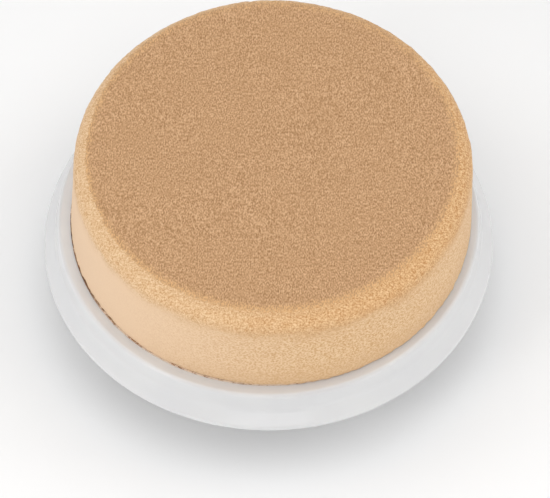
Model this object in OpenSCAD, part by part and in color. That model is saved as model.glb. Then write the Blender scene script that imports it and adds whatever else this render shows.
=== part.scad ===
// Sponge applicator head: a round foam pad on a stepped moulded carrier. The hub under the carrier
// holds a drive coupling and three spring tongues that snap into the collar of a handle.
// Millimetres, +Z up through the foam, origin at the centre of the hub's end face.

/* [Carrier] */
// Radius of the outer rim
rim_r = 15; // [13:0.1:20]
// Height of the rim's lower edge above the hub's end face
hub_drop = 5; // [4.5:0.1:7]
// Radius of the rounding on the rim's outer edge
edge_round = 0.6; // [0.4:0.05:0.8]
// Radius of the crease between the flange and the step wall
crease_r = 14.25; // [12.6:0.05:19]
// Height of that crease above the rim's lower edge
crease_h = 1.23; // [0.9:0.01:1.4]
// Radius of the fillet in the crease
crease_fillet = 0.9; // [0.3:0.1:1.2]
// Outer radius of the ridge round the seat
ridge_r = 14.08; // [12.4:0.01:18.8]
// Radius of the rounding on the ridge
ridge_round = 0.3; // [0.15:0.05:0.4]
// Height of the foam seat above the rim's lower edge
seat_h = 2.6; // [2.4:0.05:3.5]
// Thickness of the seat plate
plate_t = 1.3; // [1:0.1:1.4]
// Radius inside the skirt at the rim's lower edge
skirt_in_r = 13.9; // [12:0.1:18.5]
// Radius inside the skirt at the seat plate
skirt_top_r = 13.4; // [11.5:0.1:18]
// Number of stiffening ribs under the plate
rib_count = 6; // [6:6:12]
// Thickness of each rib
rib_t = 0.8; // [0.6:0.1:1.2]
// Height of each rib where it meets the skirt
rib_low = 0.9; // [0.5:0.1:1.2]
// Height of each rib where it meets the hub
rib_high = 1.5; // [1:0.1:1.6]

/* [Hub] */
// Outer radius of the hub
hub_r = 5.6; // [5:0.1:7]
// Inner radius of the hub
hub_in_r = 4.5; // [4:0.1:5.8]
// Half width of the window round each snap hook
window_half = 1.75; // [1.5:0.05:2]

/* [Snap hooks] */
// Width of a hook
hook_w = 2.9; // [2:0.1:3.2]
// Height of the hook's bending root above the hub's end face
hook_root_z = 4; // [3.5:0.1:4.2]
// Gap between the hook's tip and the plane of the hub's end face
hook_tip_z = 0.3; // [0.2:0.1:0.6]
// How far the barb stands out of the hub
barb_out = 0.45; // [0.2:0.05:0.6]
// Clearance round the hook's bending root
root_gap = 0.1; // [0.05:0.01:0.15]

/* [Drive coupling] */
// Radius of the drive bore
bore_r = 2; // [1.5:0.05:2.2]
// Outer radius of the coupling's tube
tube_r = 3.3; // [2.9:0.1:3.5]
// Height of the tube's mouth above the hub's end face
mouth_z = 0.6; // [0.3:0.1:1]
// Depth of the lead-in at the mouth
lead_in = 0.4; // [0.2:0.1:0.6]
// Thickness of the coupling's flange
flange_t = 1.6; // [1.2:0.1:1.7]
// Thickness of the wall that closes the bore
bore_roof = 0.5; // [0.4:0.1:0.8]
// Width of the cross slot for the spindle's drive pin
slot_w = 1.2; // [0.8:0.1:1.4]
// Depth of the cross slot
slot_d = 1.3; // [1:0.1:2]
// Width of the keys that lock the flange in the hub
key_w = 1.4; // [1:0.1:2]

/* [Foam pad] */
// Radius of the foam block
foam_r = 13.4; // [11:0.1:13.5]
// Height of the working face above the seat
pad_h = 7.4; // [5:0.1:10]
// Radius of the rounding on the foam's upper edge
foam_round = 1; // [0.5:0.1:1.5]
// Radius of the working face layer
face_r = 12.35; // [9.5:0.05:12.4]
// Thickness of the working face layer
face_t = 0.35; // [0.2:0.05:0.6]
// Radius of the adhesive disc
film_r = 13.2; // [10.5:0.1:13.3]
// Thickness of the adhesive disc
film_t = 0.15; // [0.1:0.05:0.3]

/* [Hidden] */
$fn = 96;

hook_count = 3;
hook_start = 90;
press_gap = 0.02;
overlap = 0.01;

seat_z = hub_drop + seat_h;
plate_z = seat_z - plate_t;
flange_z = plate_z - flange_t;
face_z = seat_z + pad_h;
wall_mid_r = (hub_r + hub_in_r) / 2;
wall_half = (hub_r - hub_in_r) / 2;
hook_azimuths = [for (i = [0:hook_count - 1]) hook_start + i * 360 / hook_count];
land_azimuths = [for (a = hook_azimuths) a + 180 / hook_count];

// The point where a line from p touches the circle of radius r round c; side picks one of the two.
function tangent_point(p, c, r, side) =
    let (d = p - c, a = atan2(d[1], d[0]) + side * acos(r / norm(d)))
    c + r * [cos(a), sin(a)];

// The rim's section, with its radius along X and its height above the rim's lower edge along Y.
crease = [crease_r, crease_h];
edge_centre = [rim_r - edge_round, 0];
edge_touch = tangent_point(crease, edge_centre, edge_round, -1);
ridge_centre = [ridge_r - ridge_round, seat_h - ridge_round];
ridge_touch = tangent_point(crease, ridge_centre, ridge_round, 1);

// A filled wedge that rounds the inner corner at p, between the directions of the points a and b.
module corner_fillet(p, a, b, r) {
    ua = (a - p) / norm(a - p);
    ub = (b - p) / norm(b - p);
    half = acos(ua * ub) / 2;
    reach = r / tan(half);
    centre = p + (ua + ub) / norm(ua + ub) * r / sin(half);
    difference() {
        polygon([p - (ua + ub) / norm(ua + ub) * overlap, p + ua * reach, centre, p + ub * reach]);
        translate(centre) circle(r);
    }
}

// Outer shape of the stepped disc, from the axis to the rim.
module disc_section() {
    polygon([
        [0, 0], edge_centre, edge_touch, crease, ridge_touch,
        ridge_centre, [ridge_centre[0], seat_h], [0, seat_h]
    ]);
    translate(ridge_centre) circle(ridge_round);
    intersection() {
        translate(edge_centre) circle(edge_round);
        square([rim_r, edge_round]);
    }
    corner_fillet(crease, edge_touch, ridge_touch, crease_fillet);
}

// The hollow under the seat plate, from the axis to the skirt.
module hollow_section() {
    polygon([
        [0, -1], [skirt_in_r, -1], [skirt_in_r, 0],
        [skirt_top_r, seat_h - plate_t], [0, seat_h - plate_t]
    ]);
}

// A rib that falls from the hub to the skirt, along +X.
module rib() {
    translate([0, rib_t / 2, plate_z]) rotate([90, 0, 0]) linear_extrude(rib_t)
        polygon([
            [wall_mid_r, overlap], [wall_mid_r, -rib_high],
            [skirt_top_r + overlap, -rib_low], [skirt_top_r + overlap, overlap]
        ]);
}

// The way through the hub's wall for one snap hook, along +X.
module hook_window() {
    translate([0, window_half, 0]) rotate([90, 0, 0]) linear_extrude(2 * window_half) {
        translate([wall_mid_r, hook_root_z]) circle(wall_half + root_gap);
        translate([tube_r, -1]) square([hub_r + 1 - tube_r, hook_root_z + 1]);
    }
}

// The keys of the coupling's flange, one over each land of the hub.
module keys(extra) {
    for (a = land_azimuths) rotate(a)
        translate([tube_r, -key_w / 2 - extra, flange_z - extra])
            cube([wall_mid_r + extra - tube_r, key_w + 2 * extra, flange_t + extra]);
}

module carrier() {
    color("#f2f1ef") difference() {
        union() {
            translate([0, 0, hub_drop]) rotate_extrude() difference() {
                disc_section();
                hollow_section();
            }
            difference() {
                cylinder(h = plate_z + overlap, r = hub_r);
                translate([0, 0, -1]) cylinder(h = plate_z + 1, r = hub_in_r);
            }
            for (i = [0:rib_count - 1]) rotate(hook_start + i * 360 / rib_count) rib();
        }
        for (a = hook_azimuths) rotate(a) hook_window();
        keys(press_gap);
    }
}

module drive_insert() {
    color("#c9cdd0") difference() {
        union() {
            translate([0, 0, mouth_z]) cylinder(h = plate_z - mouth_z, r = tube_r);
            translate([0, 0, flange_z]) cylinder(h = flange_t, r = hub_in_r - press_gap);
            keys(0);
        }
        cylinder(h = plate_z - bore_roof, r = bore_r);
        translate([0, 0, mouth_z - overlap])
            cylinder(h = lead_in + overlap, r1 = bore_r + lead_in, r2 = bore_r);
        translate([-tube_r - 1, -slot_w / 2, 0]) cube([2 * tube_r + 2, slot_w, mouth_z + slot_d]);
    }
}

// One spring tongue with its barb, round its bending root and cut to the hub's curve, along +X.
module hook_profile() {
    outer = wall_mid_r + wall_half;
    barb = outer + barb_out;
    translate([wall_mid_r, hook_root_z]) circle(wall_half);
    polygon([
        [wall_mid_r - wall_half, hook_root_z], [wall_mid_r - wall_half, hook_tip_z + 0.3],
        [wall_mid_r - wall_half + 0.3, hook_tip_z], [outer - 0.1, hook_tip_z],
        [barb, hook_tip_z + 0.9], [barb, hook_tip_z + 1.2],
        [outer, hook_tip_z + 1.6], [outer, hook_root_z]
    ]);
}

module snap_hook(index) {
    color("#f2f1ef") rotate(hook_azimuths[index]) intersection() {
        translate([0, hook_w / 2, 0]) rotate([90, 0, 0]) linear_extrude(hook_w) hook_profile();
        cylinder(h = plate_z, r = hub_r + barb_out);
    }
}

module adhesive_disc() {
    color("#6b4a2e") translate([0, 0, seat_z]) cylinder(h = film_t, r = film_r);
}

module foam_body() {
    foam_h = pad_h - film_t - face_t;
    color("#e8c69c") translate([0, 0, seat_z + film_t]) rotate_extrude() {
        square([foam_r, foam_h - foam_round]);
        square([foam_r - foam_round, foam_h]);
        translate([foam_r - foam_round, foam_h - foam_round]) intersection() {
            circle(foam_round);
            square(foam_round);
        }
    }
}

module face_layer() {
    color("#c79e75") translate([0, 0, face_z - face_t]) rotate_extrude() {
        square([face_r - face_t, face_t]);
        translate([face_r - face_t, 0]) intersection() {
            circle(face_t);
            square(face_t);
        }
    }
}

carrier();
drive_insert();
snap_hook(0);  // snap_hook_1
snap_hook(1);  // snap_hook_2
snap_hook(2);  // snap_hook_3
adhesive_disc();
foam_body();
face_layer();
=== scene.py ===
"""A foam sponge applicator head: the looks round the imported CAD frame."""

import math

import bpy
import numpy as np
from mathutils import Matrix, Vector, noise


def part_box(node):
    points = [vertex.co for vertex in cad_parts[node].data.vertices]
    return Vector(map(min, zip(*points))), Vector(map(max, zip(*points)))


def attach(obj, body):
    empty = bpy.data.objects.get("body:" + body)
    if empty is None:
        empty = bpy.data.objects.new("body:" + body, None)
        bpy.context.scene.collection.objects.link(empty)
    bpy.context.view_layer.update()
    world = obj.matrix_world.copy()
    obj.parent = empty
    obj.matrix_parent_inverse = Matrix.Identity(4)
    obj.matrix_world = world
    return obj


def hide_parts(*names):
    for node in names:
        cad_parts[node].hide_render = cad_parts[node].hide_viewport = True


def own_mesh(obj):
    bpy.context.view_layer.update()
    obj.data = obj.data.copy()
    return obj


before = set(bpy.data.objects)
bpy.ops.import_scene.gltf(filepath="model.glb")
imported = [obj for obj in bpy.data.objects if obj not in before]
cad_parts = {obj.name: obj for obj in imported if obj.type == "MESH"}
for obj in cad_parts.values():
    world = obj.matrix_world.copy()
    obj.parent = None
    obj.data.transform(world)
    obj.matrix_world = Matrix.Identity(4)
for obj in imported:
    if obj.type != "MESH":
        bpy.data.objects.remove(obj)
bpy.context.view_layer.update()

MM = 0.001
SEED = 11

# Height of the rim's lower edge above the hub's end face, which is the frame's origin.
RIM_Z = 5.0 * MM

# Sizes, in metres, from the frame.
RIM_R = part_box("carrier")[1].x
SEAT_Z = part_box("carrier")[1].z
FILM_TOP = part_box("adhesive_disc")[1].z
FOAM_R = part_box("foam_body")[1].x
FACE_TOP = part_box("face_layer")[1].z
FACE_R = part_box("face_layer")[1].x

# The pad as it was cut and glued on: where its base sits, how far its top leans from there, and how much
# the top is drawn in from side to side. Its working face was laminated a little off the pad's own centre.
PAD_SHIFT = np.array((0.17, 0.06)) * MM
PAD_LEAN = np.array((0.13, -0.26)) * MM
FACE_SHIFT = np.array((-0.04, 0.38)) * MM
TOP_PINCH = 0.020
BASE_R = FOAM_R - 0.07 * MM
TOP_R = FOAM_R - 0.03 * MM
EDGE_ROUND = 1.05 * MM
CORNER_R = TOP_R - EDGE_ROUND

# The foam's skin: how wide its open cells are and how deep at its side and on its top, from which height
# up they open and over what height, and the share of that depth that the cut skin below keeps. Its lowest
# stretch, by the glue, is torn deeper. The last two values are the width and depth of its slow waves.
CELL_WIDTH = 0.42 * MM
CELL_DEPTH = 0.030 * MM
TOP_CELL_DEPTH = 0.025 * MM
OPEN_FROM = FACE_TOP - 3.6 * MM
OPEN_HEIGHT = 2.4 * MM
CUT_SHARE = 0.25
TORN_HEIGHT = 0.35 * MM
TORN_SHARE = 2.2
WAVE_WIDTH = 4.5 * MM
WAVE_DEPTH = 0.05 * MM

# The working face's sheet: where its tan ends, how far it stands over the foam, how far and over which
# share of its radius it dips at its edge, its thickness, and how wide and deep its nubs and waves are.
TAN_R = FACE_R + 0.15 * MM
SHEET_R = FACE_R + 0.37 * MM
SHEET_RISE = 0.03 * MM
SHEET_DIP = 0.09 * MM
DIP_SHARE = 0.03
SHEET_DEPTH = 0.35 * MM
NUB_WIDTH = 0.36 * MM
NUB_DEPTH = 0.016 * MM
SHEET_WAVE_WIDTH = 5 * MM
SHEET_WAVE_DEPTH = 0.03 * MM

# Finer grain on top of the foam's cells and the face's nubs: its width, and its strength beside theirs.
FINE_WIDTH = 0.2 * MM
FINE_SHARE = 0.6

# The dish in the foam under that sheet: its depth, and how far its edge lies inside the sheet's edge.
DISH_DEPTH = 0.95 * MM
SHEET_LAP = 0.45 * MM

# The camera: the view's elevation, its distance in rim radii, the share of the frame's width that the
# rim fills, and how far the middle of the frame lies from the rim's centre, across and up.
CAM_ELEVATION = math.radians(55.84)
CAM_DISTANCE_RADII = 30.0
CAM_SENSOR = 36.0
RIM_SHARE = 0.8148
CAM_OFFSET = (0.43 * MM, -0.495 * MM)

# The studio's walls: their brightness as a share of full white, and where they fade to a dark ceiling, as
# the sine of the elevation.
WALL_LIGHT = 0.69
WALL_FADE = (0.20, 0.55)

# Each lamp's name, place, width, and the share of full white that it gives a surface facing it.
LAMPS = (
    ("overhead", (0, 0, 0.30), 0.50, 1.23),
    ("left", (-0.28, 0.02, 0.14), 0.20, 0.13),
    ("right", (0.28, 0.02, 0.14), 0.20, 0.19),
    ("front_left", (-0.25, -0.21, 0.17), 0.12, 0.16),
    ("front_right", (0.29, -0.17, 0.15), 0.14, 0.08),
    ("front", (0, -0.30, 0.12), 0.20, 0.13),
)

# Half the width of the floor.
FLOOR_HALF = 0.2


# ---------------------------------------------------------------- node helpers

class Nodes:
    """A short way to build one material's node tree."""

    def __init__(self, name):
        self.mat = bpy.data.materials.new(name)
        self.mat.use_nodes = True
        self.tree = self.mat.node_tree
        self.tree.nodes.clear()
        out = self.tree.nodes.new("ShaderNodeOutputMaterial")
        self.bsdf = self.tree.nodes.new("ShaderNodeBsdfPrincipled")
        self.link(self.bsdf.outputs[0], out.inputs["Surface"])
        self.coord = self.tree.nodes.new("ShaderNodeTexCoord").outputs["Object"]

    def link(self, a, b):
        self.tree.links.new(a, b)

    def set(self, **values):
        """Fixed values for the shader's inputs, with _ for each space in an input's name."""
        for key, value in values.items():
            self.bsdf.inputs[key.replace("_", " ")].default_value = value

    def plug(self, key, socket):
        """Drives one of the shader's inputs from a socket."""
        self.link(socket, self.bsdf.inputs[key])

    def put(self, socket, value):
        """Links the value to the socket if it is a socket itself, and sets it otherwise."""
        if isinstance(value, bpy.types.NodeSocket):
            self.link(value, socket)
        else:
            socket.default_value = value

    def scaled(self, scale):
        """The object coordinates times a scale for each axis."""
        n = self.tree.nodes.new("ShaderNodeMapping")
        n.inputs["Scale"].default_value = scale
        self.link(self.coord, n.inputs["Vector"])
        return n.outputs[0]

    def noise(self, cell, detail=2.0, rough=0.5, stretch=(1, 1, 1), distort=0.0):
        """Noise whose cells are about that many metres across."""
        n = self.tree.nodes.new("ShaderNodeTexNoise")
        self.link(self.scaled([s / cell for s in stretch]), n.inputs["Vector"])
        n.inputs["Scale"].default_value = 1.0
        n.inputs["Detail"].default_value = detail
        n.inputs["Roughness"].default_value = rough
        n.inputs["Distortion"].default_value = distort
        return n.outputs["Fac"]

    def cells(self, cell, stretch=(1, 1, 1)):
        """Distance to the nearest point of a field whose cells are about that many metres across."""
        n = self.tree.nodes.new("ShaderNodeTexVoronoi")
        self.link(self.scaled([s / cell for s in stretch]), n.inputs["Vector"])
        n.inputs["Scale"].default_value = 1.0
        return n.outputs["Distance"]

    def math(self, op, a, b, clamp=False):
        n = self.tree.nodes.new("ShaderNodeMath")
        n.operation = op
        n.use_clamp = clamp
        self.put(n.inputs[0], a)
        self.put(n.inputs[1], b)
        return n.outputs[0]

    def add(self, a, b, clamp=False):
        return self.math("ADD", a, b, clamp)

    def times(self, a, b):
        return self.math("MULTIPLY", a, b)

    def swing(self, value, size):
        """Noise from 0 to 1 as a signed amount, half of size each way."""
        return self.times(self.math("SUBTRACT", value, 0.5), size)

    def remap(self, value, span, to=(0.0, 1.0), smooth=False):
        """The value with its span stretched to another one and held inside it."""
        n = self.tree.nodes.new("ShaderNodeMapRange")
        n.interpolation_type = "SMOOTHSTEP" if smooth else "LINEAR"
        self.put(n.inputs["Value"], value)
        for key, v in zip(("From Min", "From Max", "To Min", "To Max"), (*span, *to)):
            n.inputs[key].default_value = v
        return n.outputs[0]

    def ramp(self, value, places, colours):
        """Colours at their places along the value, blended between them."""
        n = self.tree.nodes.new("ShaderNodeValToRGB")
        self.link(value, n.inputs[0])
        elements = n.color_ramp.elements
        while len(elements) < len(places):
            elements.new(0.5)
        for element, place, colour in zip(elements, places, colours):
            element.position = place
            element.color = (*colour, 1.0)
        return n.outputs[0]

    def mix(self, factor, a, b):
        """A blend from a to b, each a colour or a socket."""
        n = self.tree.nodes.new("ShaderNodeMix")
        n.data_type = "RGBA"
        self.put(n.inputs[0], factor)
        # Inputs 6 and 7 are this node's two colours, and output 2 is the blended one.
        for socket, value in ((n.inputs[6], a), (n.inputs[7], b)):
            self.put(socket, (*value, 1.0) if isinstance(value, tuple) else value)
        return n.outputs[2]

    def axis(self, letter):
        n = self.tree.nodes.new("ShaderNodeSeparateXYZ")
        self.link(self.coord, n.inputs[0])
        return n.outputs[letter]

    def height(self):
        """The point's height, in metres."""
        return self.axis("Z")

    def across(self):
        """How far the point lies towards +X, in metres."""
        return self.axis("X")

    def radius(self, centre):
        """The point's distance from the vertical axis through centre."""
        n = self.tree.nodes.new("ShaderNodeVectorMath")
        n.operation = "MULTIPLY_ADD"
        self.link(self.coord, n.inputs[0])
        n.inputs[1].default_value = (1, 1, 0)
        n.inputs[2].default_value = (-centre[0], -centre[1], 0)
        length = self.tree.nodes.new("ShaderNodeVectorMath")
        length.operation = "LENGTH"
        self.link(n.outputs[0], length.inputs[0])
        return length.outputs["Value"]

    def bump(self, height, distance, strength):
        n = self.tree.nodes.new("ShaderNodeBump")
        n.inputs["Strength"].default_value = strength
        n.inputs["Distance"].default_value = distance
        self.link(height, n.inputs["Height"])
        self.link(n.outputs[0], self.bsdf.inputs["Normal"])


def srgb(r, g, b):
    """An sRGB colour from 0 to 255 as the linear colour that a shader takes."""
    def one(c):
        c /= 255.0
        return c / 12.92 if c <= 0.04045 else ((c + 0.055) / 1.055) ** 2.4
    return one(r), one(g), one(b)


# Foam: the cut skin, lighter and a little pinker at the left from painted light falling from the left, and
# its foot near the glue, darker from painted shade by the seat. The ground edge runs from its darkest cells
# to its palest walls, at the stops along the cells' height, and is lighter at the left from painted light
# too.
SKIN_DARK_LEFT_LIT, SKIN_LIGHT_LEFT_LIT = srgb(225, 190, 155), srgb(235, 204, 170)
SKIN_DARK_RIGHT_SHADED, SKIN_LIGHT_RIGHT_SHADED = srgb(207, 159, 106), srgb(233, 200, 158)
FOOT_SHADE = srgb(211, 172, 128)
GROUND_LEFT_LIT = srgb(200, 155, 106), srgb(214, 174, 131), srgb(223, 188, 147), srgb(233, 202, 163)
GROUND_RIGHT_SHADED = srgb(188, 135, 82), srgb(205, 157, 107), srgb(216, 174, 126), srgb(232, 196, 150)
GROUND_STOPS = (0.0, 0.35, 0.62, 1.0)

# Carrier plastic: the two ends of its slow drift, and where handling has dulled it.
PLASTIC_LOW, PLASTIC_HIGH, PLASTIC_WORN = srgb(216, 216, 217), srgb(220, 220, 220), srgb(203, 202, 201)

# Glue film, from its thickest spots to its thinnest.
GLUE_DARK, GLUE_BROWN, GLUE_PALE = srgb(84, 52, 30), srgb(158, 112, 72), srgb(228, 205, 182)

# Working face: its specks from dark to pale, with their stops, its slow clouding, and its edge.
TAN_DARK, TAN_MID = srgb(155, 115, 76), srgb(183, 143, 103)
TAN_LIGHT, TAN_PALE = srgb(196, 154, 114), srgb(218, 178, 139)
TAN_STOPS = (0.25, 0.45, 0.56, 0.75)
TAN_CLOUD, OCHRE = srgb(183, 142, 101), srgb(222, 177, 127)

# Coupling and floor: the two ends of each one's slow drift.
ACETAL_LOW, ACETAL_HIGH = srgb(186, 191, 195), srgb(205, 209, 212)
FLOOR_LOW, FLOOR_HIGH = (0.925, 0.925, 0.925), (0.935, 0.935, 0.935)

# Nearly all of a noise's values lie in this span.
NOISE_SPAN = (0.3, 0.7)

# Where the looks change from left to right, in X: the cut skin grows a clear grain and gets darker and
# warmer, the ground edge gets darker and warmer, their darkening being painted shade where the painted
# light from the left gives out, and the foam begins to cover the glue film.
SKIN_CLEARS = (-10 * MM, -1 * MM)
SKIN_SHADES_AND_WARMS = (-12 * MM, 5 * MM)
GROUND_SHADES_AND_WARMS = (-12 * MM, 9 * MM)
FILM_HIDES = (-12.6 * MM, -9.5 * MM)

# Where they change with height: the foot's painted shade fades, and the cut skin gives way to the ground
# edge.
FOOT_SHADE_FADES = (FILM_TOP, FILM_TOP + 3.0 * MM)
SKIN_OPENS = (FACE_TOP - 2.0 * MM, FACE_TOP - 0.4 * MM)

# Where they change outwards on the working face: its tan turns ochre, and then it is worn down to foam.
TAN_FADES = (TAN_R - 0.75 * MM, TAN_R - 0.15 * MM)
FACE_WEARS = (TAN_R - 0.25 * MM, TAN_R + 0.15 * MM)


# ---------------------------------------------------------------- materials

def ground_foam(n):
    """Colour and height of the foam's ground upper edge: darker and yellower to the right, lighter at the
    left from painted light, with darker open cells.
    """
    coarse = n.noise(0.20 * MM, detail=1.0, rough=0.6)
    fine = n.noise(0.10 * MM, detail=0.5)
    pores = n.add(n.times(coarse, 0.35), n.times(fine, 0.65))
    depth = n.remap(pores, NOISE_SPAN)
    # Painted light: the edge's left colours are lighter, as if lit from the left, and its right ones darker
    # and warmer.
    left = n.ramp(depth, GROUND_STOPS, GROUND_LEFT_LIT)
    right = n.ramp(depth, GROUND_STOPS, GROUND_RIGHT_SHADED)
    return n.mix(n.remap(n.across(), GROUND_SHADES_AND_WARMS, smooth=True), left, right), pores


def foam_material():
    """Cream open-cell foam: a cut skin with fine cells, ground open and yellower round the upper edge."""
    n = Nodes("cream_foam_cells")
    ground, pores = ground_foam(n)
    drift = n.noise(3.0 * MM, detail=2.0)
    cells = n.noise(0.13 * MM, detail=1.5, rough=0.6)
    clear = n.remap(n.add(n.across(), n.swing(drift, 9 * MM)), SKIN_CLEARS)
    # Painted light: the skin's colours are lighter and pinker at the left, as if lit from the left, and
    # darker and yellower at the right.
    shade_and_warmth = n.remap(n.across(), SKIN_SHADES_AND_WARMS, smooth=True)
    dark = n.mix(shade_and_warmth, SKIN_DARK_LEFT_LIT, SKIN_DARK_RIGHT_SHADED)
    light = n.mix(shade_and_warmth, SKIN_LIGHT_LEFT_LIT, SKIN_LIGHT_RIGHT_SHADED)
    contrast = n.swing(cells, n.remap(clear, (0.0, 1.0), to=(0.8, 4.6)))
    skin = n.mix(n.add(contrast, 0.6, clamp=True), dark, light)
    # Painted shade: the skin darkens towards its foot by the glue and the seat, at the middle and the
    # right.
    foot_shade = n.remap(n.height(), FOOT_SHADE_FADES, to=(0.55, 0.0), smooth=True)
    skin = n.mix(n.times(foot_shade, clear), skin, FOOT_SHADE)
    height = n.add(n.height(), n.swing(drift, 2.0 * MM))
    opened = n.remap(height, SKIN_OPENS, smooth=True)
    n.plug("Base Color", n.mix(opened, skin, ground))
    n.plug("Roughness", n.remap(pores, NOISE_SPAN, to=(0.82, 0.95)))
    n.bump(n.mix(opened, cells, pores), distance=0.05 * MM, strength=0.6)
    n.set(Specular_IOR_Level=0.2, Sheen_Weight=0.1, Sheen_Roughness=0.6)
    return n.mat


def face_material():
    """The tan working face: short upright nap in fine drawn-out specks, worn to foam round its edge."""
    n = Nodes("tan_face_nap")
    specks = n.noise(0.085 * MM, detail=0.4, rough=0.6, stretch=(1.0, 0.52, 1.0))
    nubs = n.cells(0.11 * MM, stretch=(1.0, 0.7, 1.0))
    nap = n.add(specks, n.remap(nubs, (0.1, 0.7), to=(-0.05, 0.05)))
    tan = n.ramp(nap, TAN_STOPS, (TAN_DARK, TAN_MID, TAN_LIGHT, TAN_PALE))
    cloud = n.noise(2.2 * MM, detail=3.0)
    tan = n.mix(n.remap(cloud, (0.35, 0.65), to=(0.0, 0.2)), tan, TAN_CLOUD)
    ragged = n.swing(n.noise(0.35 * MM, detail=3.0), 0.9 * MM)
    reach = n.add(n.radius(PAD_SHIFT + PAD_LEAN + FACE_SHIFT), ragged)
    ochre = n.mix(n.remap(nap, (0.32, 0.68)), TAN_MID, OCHRE)
    ground, pores = ground_foam(n)
    colour = n.mix(n.remap(reach, TAN_FADES, smooth=True), tan, ochre)
    worn = n.remap(reach, FACE_WEARS, smooth=True)
    n.plug("Base Color", n.mix(worn, colour, ground))
    n.plug("Roughness", n.remap(specks, NOISE_SPAN, to=(0.85, 0.97)))
    n.bump(n.mix(worn, nap, pores), distance=0.06 * MM, strength=0.6)
    n.set(Specular_IOR_Level=0.15, Sheen_Weight=0.15, Sheen_Roughness=0.5)
    return n.mat


def plastic_material():
    """White glossy moulded plastic with faint flow ripple, mould mist and a few handling scuffs."""
    n = Nodes("white_moulded_plastic")
    flow = n.noise(3.5 * MM, detail=2.0)
    mist = n.noise(0.25 * MM, detail=2.0, rough=0.6)
    scuff = n.noise(0.8 * MM, detail=4.0, rough=0.7, distort=0.8)
    worn = n.times(n.remap(scuff, (0.62, 0.80)), 0.15)
    colour = n.mix(n.remap(flow, NOISE_SPAN), PLASTIC_LOW, PLASTIC_HIGH)
    n.plug("Base Color", n.mix(worn, colour, PLASTIC_WORN))
    n.plug("Roughness", n.add(n.remap(mist, NOISE_SPAN, to=(0.13, 0.19)), worn))
    n.bump(n.add(flow, n.times(mist, 0.03)), distance=0.015 * MM, strength=0.4)
    n.set(IOR=1.49, Subsurface_Weight=0.15, Subsurface_Radius=(1.0, 0.95, 0.9), Subsurface_Scale=0.4 * MM)
    return n.mat


def acetal_material():
    """Grey acetal with a satin, faintly clouded skin."""
    n = Nodes("grey_acetal")
    cloud = n.noise(1.2 * MM, detail=3.0)
    mist = n.noise(0.12 * MM, detail=2.0)
    n.plug("Base Color", n.mix(n.remap(cloud, NOISE_SPAN), ACETAL_LOW, ACETAL_HIGH))
    n.plug("Roughness", n.remap(mist, NOISE_SPAN, to=(0.38, 0.52)))
    n.bump(n.add(cloud, n.times(mist, 0.3)), distance=0.02 * MM, strength=0.4)
    n.set(IOR=1.48)
    return n.mat


def film_material():
    """Glue film, uneven in depth: brown and broken where the foam leaves it bare, paler elsewhere."""
    n = Nodes("brown_glue_film")
    cloud = n.noise(0.4 * MM, detail=4.0, rough=0.7)
    bare = n.ramp(cloud, (0.40, 0.55, 0.62), (GLUE_DARK, GLUE_BROWN, GLUE_PALE))
    under = n.ramp(cloud, (0.38, 0.52), (GLUE_BROWN, GLUE_PALE))
    n.plug("Base Color", n.mix(n.remap(n.across(), FILM_HIDES, smooth=True), bare, under))
    n.plug("Roughness", n.remap(cloud, NOISE_SPAN, to=(0.35, 0.7)))
    n.bump(cloud, distance=0.05 * MM, strength=0.5)
    return n.mat


def floor_material():
    """A matt, nearly white floor."""
    n = Nodes("pale_floor")
    n.plug("Base Color", n.mix(n.remap(n.noise(40 * MM), NOISE_SPAN), FLOOR_LOW, FLOOR_HIGH))
    n.set(Roughness=0.9, Specular_IOR_Level=0.1)
    return n.mat


# ---------------------------------------------------------------- meshes

def mesh_object(name, points, faces, material, smooth=True):
    """A new object in the scene, made from points and faces."""
    mesh = bpy.data.meshes.new(name)
    mesh.from_pydata([tuple(p) for p in points], [], [tuple(f) for f in faces])
    mesh.validate()
    mesh.polygons.foreach_set("use_smooth", [smooth] * len(mesh.polygons))
    mesh.materials.append(material)
    mesh.update()
    obj = bpy.data.objects.new(name, mesh)
    bpy.context.scene.collection.objects.link(obj)
    return obj


def ring_faces(rings, around):
    """Quads between rings of points that lie one after another, each with that many points."""
    faces = []
    for i in range(rings - 1):
        for j in range(around):
            k = (j + 1) % around
            faces.append((i * around + j, i * around + k, (i + 1) * around + k, (i + 1) * around + j))
    return faces


def neighbours(ring):
    """Each point number in a closed ring, with the next one."""
    return list(zip(ring, ring[1:] + ring[:1]))


def fan_faces(ring, hub):
    """Triangles from a closed ring of point numbers to one point."""
    return [(a, b, hub) for a, b in neighbours(ring)]


def resample(path, step):
    """Points at even steps along a list of (radius, height) points."""
    path = np.array(path, float)
    lengths = np.r_[0.0, np.cumsum(np.linalg.norm(np.diff(path, axis=0), axis=1))]
    count = max(2, int(round(lengths[-1] / step)) + 1)
    at = np.linspace(0.0, lengths[-1], count)
    return np.c_[np.interp(at, lengths, path[:, 0]), np.interp(at, lengths, path[:, 1])]


def arc(centre, radius, start, end, count):
    """Points along an arc, from one angle in degrees to another."""
    angles = np.radians(np.linspace(start, end, count))
    return [(centre[0] + radius * math.cos(a), centre[1] + radius * math.sin(a)) for a in angles]


def grain(p, cell, seed):
    """Signed noise of that cell size at a point."""
    return noise.noise(Vector((p[0] / cell + seed, p[1] / cell + 2.3 * seed, p[2] / cell)))


def layered_grain(p, cell, seed):
    """Signed noise of that cell size, with the finer grain on top."""
    return grain(p, cell, seed) + FINE_SHARE * grain(p, FINE_WIDTH, seed + 3)


def mesh_step(fine):
    return fine


def settle(points):
    """Puts the pad's points on their seat: leaning a little, drawn in at the top, and off the axis."""
    points = np.array(points, float)
    share = np.clip((points[:, 2] - FILM_TOP) / (FACE_TOP - FILM_TOP), 0.0, 1.0)
    points[:, 0] *= 1.0 - TOP_PINCH * share
    points[:, :2] += PAD_SHIFT + share[:, None] * PAD_LEAN
    return points


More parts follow.
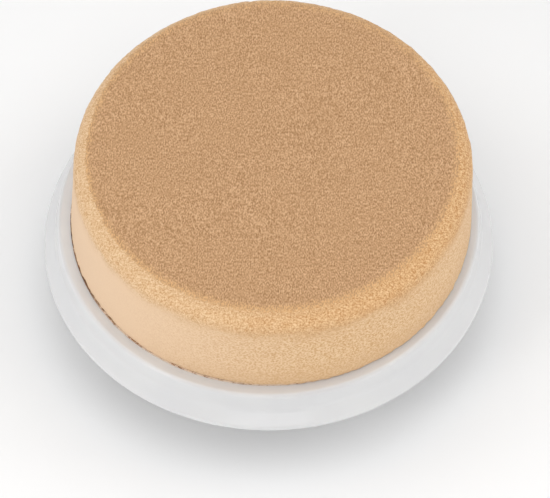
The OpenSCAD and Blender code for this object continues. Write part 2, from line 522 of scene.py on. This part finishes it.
def pad_top(x, y):
    """Height of the pad's upper skin over a point, flat in the middle and rounded at the edge."""
    over = np.clip(np.hypot(x, y) - CORNER_R, 0.0, EDGE_ROUND)
    return FACE_TOP - EDGE_ROUND + np.sqrt(EDGE_ROUND ** 2 - over ** 2)


def face_radius(points):
    """Distance of each point from the middle of the working face."""
    return np.hypot(points[:, 0] - FACE_SHIFT[0], points[:, 1] - FACE_SHIFT[1])


def foam_profile(step):
    """Section of the foam: from under its base out, up the side, over the edge and in under the face."""
    nick = 0.12 * MM
    turn_in = 1.2 * MM
    path = [(BASE_R - turn_in, FILM_TOP), (BASE_R - nick, FILM_TOP)]
    path += arc((BASE_R - nick, FILM_TOP + nick), nick, -90, 0, 4)[1:]
    path += arc((CORNER_R, FACE_TOP - EDGE_ROUND), EDGE_ROUND, 0, 90, 12)
    path += [(CORNER_R - turn_in, FACE_TOP)]
    return resample(path, step)


def roughen(points):
    """Moves the foam's skin in and out by its open cells and by its slow waves."""
    for p in points:
        cells = layered_grain(p, CELL_WIDTH, SEED)
        opened = min(max((p[2] - OPEN_FROM) / OPEN_HEIGHT, CUT_SHARE), 1.0)
        torn = TORN_SHARE * max(1.0 - (p[2] - FILM_TOP) / TORN_HEIGHT, 0.0)
        push = CELL_DEPTH * cells * max(opened, torn) + WAVE_DEPTH * grain(p, WAVE_WIDTH, SEED + 7)
        radius = math.hypot(p[0], p[1])
        p[0] += push * p[0] / radius
        p[1] += push * p[1] / radius
        if p[2] > FACE_TOP - EDGE_ROUND:
            p[2] += TOP_CELL_DEPTH * cells


def sink_dish(points):
    """Lowers the top of the foam where the working face covers it."""
    covered = face_radius(points) < SHEET_R - SHEET_LAP
    on_top = points[:, 2] > FILM_TOP + EDGE_ROUND
    points[covered & on_top, 2] -= DISH_DEPTH


def foam_piece():
    """The foam pad: its roughened skin, closed in the dish under the face and flat on the glue film."""
    step = mesh_step(0.15 * MM)
    section = foam_profile(step)
    around = int(2 * math.pi * FOAM_R / step)
    angles = np.linspace(0.0, 2 * math.pi, around, endpoint=False)
    skin = [np.c_[r * np.cos(angles), r * np.sin(angles), np.full(around, z)] for r, z in section]
    skin = np.concatenate(skin)
    roughen(skin)
    sink_dish(skin)
    count = len(skin)
    faces = ring_faces(len(section), around)
    faces += fan_faces(list(range(count - around, count)), count)
    faces += fan_faces(list(reversed(range(around))), count + 1)
    points = np.concatenate([skin, [(0, 0, FACE_TOP - DISH_DEPTH), (0, 0, FILM_TOP)]])
    return mesh_object("foam_pad", settle(points), faces, foam_material())


def disc_grid(radius, step):
    """A square grid drawn out to a circle: its points, its quads and the point numbers round its border."""
    n = int(2 * radius / step)
    n += n % 2
    u = np.linspace(-1.0, 1.0, n + 1)
    a, b = np.meshgrid(u, u, indexing="ij")
    x = a * np.sqrt(1 - b * b / 2)
    y = b * np.sqrt(1 - a * a / 2)
    points = np.c_[radius * x.ravel(), radius * y.ravel()]
    faces = []
    for i in range(n):
        for j in range(n):
            k = i * (n + 1) + j
            faces.append((k, k + n + 1, k + n + 2, k + 1))
    border = [i * (n + 1) for i in range(n)] + [n * (n + 1) + j for j in range(n)]
    border += [(n - i) * (n + 1) + n for i in range(n)] + [n - j for j in range(n)]
    return points, faces, border


def face_piece():
    """The working face: a finely nubbed sheet on the pad's top that dips into the foam at its edge."""
    flat, faces, border = disc_grid(SHEET_R, mesh_step(0.16 * MM))
    edge = np.clip((np.hypot(flat[:, 0], flat[:, 1]) / SHEET_R - 1 + DIP_SHARE) / DIP_SHARE, 0.0, 1.0)
    flat += FACE_SHIFT
    top = np.c_[flat, pad_top(flat[:, 0], flat[:, 1]) + SHEET_RISE - SHEET_DIP * edge ** 2]
    for p in top:
        nubs = layered_grain(p, NUB_WIDTH, SEED + 20)
        p[2] += NUB_DEPTH * nubs + SHEET_WAVE_DEPTH * grain(p, SHEET_WAVE_WIDTH, SEED + 27)
    skirt = top[border].copy()
    skirt[:, 2] -= SHEET_DEPTH
    hem = list(range(len(top), len(top) + len(border)))
    for (a, b), (c, d) in zip(neighbours(border), neighbours(hem)):
        faces.append((b, a, c, d))
    faces += fan_faces(hem[::-1], len(top) + len(border))
    points = np.concatenate([top, skirt, [(*FACE_SHIFT, FACE_TOP - SHEET_DEPTH)]])
    return mesh_object("working_face", settle(points), faces, face_material())


# ---------------------------------------------------------------- stage

def floor_piece():
    """The floor that the head stands on."""
    corners = ((-1, -1), (1, -1), (1, 1), (-1, 1))
    points = [(FLOOR_HALF * x, FLOOR_HALF * y, 0) for x, y in corners]
    floor = mesh_object("floor", points, [(0, 1, 2, 3)], floor_material(), smooth=False)


def area_light(name, place, size, share):
    """A round lamp, turned to the middle of the seat."""
    away = Vector(place) - Vector((0, 0, SEAT_Z))
    lamp = bpy.data.lights.new(name, "AREA")
    lamp.shape = "DISK"
    lamp.size = size
    lamp.energy = share * (math.pi * away.length) ** 2
    obj = bpy.data.objects.new(name, lamp)
    obj.location = place
    obj.rotation_euler = away.to_track_quat("Z", "Y").to_euler()
    bpy.context.scene.collection.objects.link(obj)


def studio_world():
    """White walls round the stage that fade to a dark ceiling, so the lamp overhead makes the shadow."""
    world = bpy.data.worlds.new("studio")
    world.use_nodes = True
    tree = world.node_tree
    background = tree.nodes["Background"]
    background.inputs["Color"].default_value = (1.0, 1.0, 1.0, 1.0)
    axes = tree.nodes.new("ShaderNodeSeparateXYZ")
    tree.links.new(tree.nodes.new("ShaderNodeTexCoord").outputs["Generated"], axes.inputs[0])
    fade = tree.nodes.new("ShaderNodeMapRange")
    fade.interpolation_type = "SMOOTHSTEP"
    for key, value in zip(("From Min", "From Max", "To Min", "To Max"), (*WALL_FADE, WALL_LIGHT, 0.0)):
        fade.inputs[key].default_value = value
    tree.links.new(axes.outputs["Z"], fade.inputs["Value"])
    tree.links.new(fade.outputs[0], background.inputs["Strength"])
    bpy.context.scene.world = world


def lights():
    """White studio walls, a wide soft box overhead, and weak lamps at the sides and in front."""
    studio_world()
    for lamp in LAMPS:
        area_light(*lamp)


def camera():
    """The photo's view of the head, from in front and above."""
    centre = Vector((0, 0, RIM_Z))
    back = Vector((0, -math.cos(CAM_ELEVATION), math.sin(CAM_ELEVATION)))
    up = Vector((0, math.sin(CAM_ELEVATION), math.cos(CAM_ELEVATION)))
    target = centre + Vector((CAM_OFFSET[0], 0, 0)) + up * CAM_OFFSET[1]
    cam = bpy.data.cameras.new("photo_view")
    cam.sensor_width = CAM_SENSOR
    cam.lens = CAM_SENSOR * RIM_SHARE * CAM_DISTANCE_RADII / 2
    cam.clip_start, cam.clip_end = 0.05, 5.0
    obj = bpy.data.objects.new("photo_view", cam)
    obj.location = target + back * CAM_DISTANCE_RADII * RIM_R
    obj.rotation_euler = (-back).to_track_quat("-Z", "Y").to_euler()
    bpy.context.scene.collection.objects.link(obj)
    bpy.context.scene.camera = obj


# ---------------------------------------------------------------- assembly

def dress(node, material):
    """Gives a CAD piece its material."""
    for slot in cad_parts[node].material_slots:
        slot.material = material


def dress_cad_nodes():
    """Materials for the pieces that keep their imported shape."""
    plastic = plastic_material()
    for node in ("carrier", "snap_hook_1", "snap_hook_2", "snap_hook_3"):
        dress(node, plastic)
    dress("drive_insert", acetal_material())
    dress("adhesive_disc", film_material())


def build():
    """Stage, hard pieces, and the two foam pieces that stand in for the CAD foam and face."""
    bpy.context.scene.view_settings.view_transform = "Standard"
    camera()
    lights()
    floor_piece()
    dress_cad_nodes()

    foam = foam_piece()
    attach(foam, "base")
    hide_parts("foam_body")
    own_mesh(foam)

    face = face_piece()
    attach(face, "working_face")
    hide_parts("face_layer")


build()
